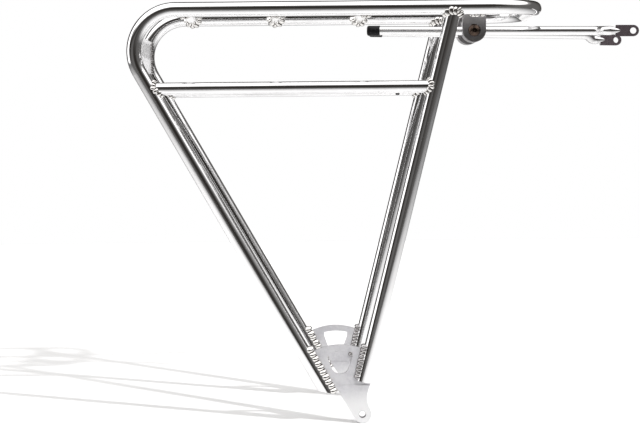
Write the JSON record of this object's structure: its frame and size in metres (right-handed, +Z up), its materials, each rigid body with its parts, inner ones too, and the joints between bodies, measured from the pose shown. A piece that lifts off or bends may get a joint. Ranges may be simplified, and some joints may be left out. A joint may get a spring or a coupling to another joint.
{
  "type": "rear rack",
  "caption": "Bicycle rear carrier: bent-tube platform on two braced side frames, with bolt-on feet and two adjustable stays that run forward to the frame.",
  "frame": {"origin": "midpoint between the two dropout eyelets, on their common axis", "axes": "+X forward on the bicycle, +Y to the bicycle's left along the eyelet axis, +Z up"},
  "size_m": [0.452, 0.1612, 0.3665],
  "materials": {
    "polished_tube": "polished with fine lengthwise brushing",
    "satin_plate": "satin",
    "dark_bracket": "dark satin",
    "screw_steel": "satin",
    "stay_rod": "polished",
    "black_rubber": "smooth"
  },
  "bodies": {
    "rack": {"main_loop": "polished_tube", "right_strut": "polished_tube", "left_strut": "polished_tube", "right_side_rail": "polished_tube", "left_side_rail": "polished_tube", "rear_crossbar": "polished_tube", "middle_crossbar": "polished_tube", "front_crossbar": "polished_tube", "stay_crossbar": "polished_tube", "light_plate": "satin_plate", "right_dropout": "satin_plate", "left_dropout": "satin_plate", "right_tab": "dark_bracket", "left_tab": "dark_bracket"},
    "right_clamp": {"right_clamp": "dark_bracket", "right_clamp_screw": "screw_steel"},
    "left_clamp": {"left_clamp": "dark_bracket", "left_clamp_screw": "screw_steel"},
    "right_stay": {"right_stay": "stay_rod", "right_cap": "black_rubber"},
    "left_stay": {"left_stay": "stay_rod", "left_cap": "black_rubber"}
  },
  "joints": [
    {"name": "right_stay_pivot", "type": "hinge", "parent": "rack", "child": "right_clamp", "pos_m": [0.1042, -0.02245, 0.3344], "axis": [0, -1, 0], "range_deg": [-3, 6.5]},
    {"name": "left_stay_pivot", "type": "hinge", "parent": "rack", "child": "left_clamp", "pos_m": [0.1042, 0.02245, 0.3344], "axis": [0, -1, 0], "range_deg": [-3, 6.5]},
    {"name": "right_stay_slide", "type": "slide", "parent": "right_clamp", "child": "right_stay", "axis": [0.9911, -0.1323, -0.0156], "range_m": [-0.03, 0.07]},
    {"name": "left_stay_slide", "type": "slide", "parent": "left_clamp", "child": "left_stay", "axis": [0.9911, 0.1323, -0.0156], "range_m": [-0.033, 0.067]}
  ]
}
